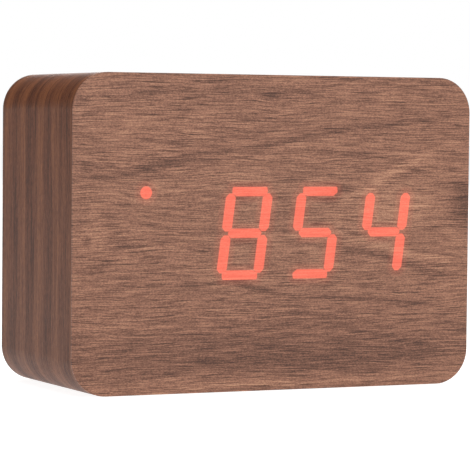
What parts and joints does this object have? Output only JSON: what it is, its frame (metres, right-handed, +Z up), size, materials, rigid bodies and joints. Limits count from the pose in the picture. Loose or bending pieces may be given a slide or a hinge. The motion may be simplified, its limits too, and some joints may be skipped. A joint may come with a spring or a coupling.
{
  "type": "alarm clock",
  "caption": "Digital alarm clock in a rounded walnut-veneered box; its red figures shine through the plain wooden front. Sprung rear buttons and a hinged battery door.",
  "frame": {"origin": "centre of the underside, which is also the bottom centre of the box around the clock", "axes": "+X to the right as the clock is read, +Y from the display to the rear cover, +Z up"},
  "size_m": [0.1, 0.044, 0.0715],
  "materials": {
    "face_veneer": "satin walnut veneer, grain level",
    "wrap_veneer": "satin walnut veneer, grain along the wrap",
    "fibreboard": "raw medium-density fibreboard",
    "white_film": "matt polyester film",
    "white_plastic": "matt moulded plastic",
    "circuit_board": "green solder resist on glass epoxy",
    "led_resin": "clear tinted resin",
    "led_resin_dark": "dark dipped resin",
    "chip_resin": "matt moulded resin",
    "screw_steel": "bright zinc plate",
    "black_steel": "black zinc plate",
    "black_plastic": "fine sparked texture",
    "button_plastic": "smooth satin",
    "cell_jacket": "printed sleeve round a steel can",
    "nickel_steel": "nickel plate",
    "red_insulation": "vinyl insulation",
    "black_insulation": "vinyl insulation",
    "can_aluminium": "drawn can",
    "capacitor_sleeve": "shrunk sleeve round a can",
    "header_nylon": "moulded nylon",
    "ribbon_vinyl": "ribbed vinyl"
  },
  "bodies": {
    "case": {"wood_case": "fibreboard", "front_veneer": "face_veneer", "side_veneer": "wrap_veneer", "rear_veneer": "wrap_veneer", "diffuser_film": "white_film", "segment_mask": "white_plastic", "display_board": "circuit_board", "segment_leds": "led_resin", "driver_chips": "chip_resin", "display_resistors": "chip_resin", "display_screws": "screw_steel", "back_cover": "black_plastic", "cover_screws": "black_steel", "battery_cells": "cell_jacket", "battery_springs": "nickel_steel", "battery_contacts": "nickel_steel", "positive_lead": "red_insulation", "negative_lead": "black_insulation", "control_board": "circuit_board", "board_screws": "screw_steel", "switch_bodies": "chip_resin", "usb_socket": "screw_steel", "usb_tongue": "chip_resin", "buzzer": "chip_resin", "microphone": "can_aluminium", "thermistor": "led_resin_dark", "control_chip": "chip_resin", "clock_crystal": "can_aluminium", "capacitors": "capacitor_sleeve", "backup_holder": "chip_resin", "backup_cell": "screw_steel", "display_header": "header_nylon", "control_header": "header_nylon", "ribbon_cable": "ribbon_vinyl"},
    "battery_door": {"battery_door": "black_plastic"},
    "set_key": {"set_button": "button_plastic", "set_plunger": "white_plastic"},
    "up_key": {"up_button": "button_plastic", "up_plunger": "white_plastic"},
    "down_key": {"down_button": "button_plastic", "down_plunger": "white_plastic"}
  },
  "joints": [
    {"name": "battery_door_swing", "type": "hinge", "parent": "case", "child": "battery_door", "pos_m": [0, 0.0216, 0.0085], "axis": [-1, 0, 0], "range_deg": [0, 60]},
    {"name": "set_press", "type": "slide", "parent": "case", "child": "set_key", "axis": [0, -1, 0], "range_m": [0, 0.0003], "stiffness_N_per_m": 600},
    {"name": "up_press", "type": "slide", "parent": "case", "child": "up_key", "axis": [0, -1, 0], "range_m": [0, 0.0003], "stiffness_N_per_m": 600},
    {"name": "down_press", "type": "slide", "parent": "case", "child": "down_key", "axis": [0, -1, 0], "range_m": [0, 0.0003], "stiffness_N_per_m": 600}
  ]
}
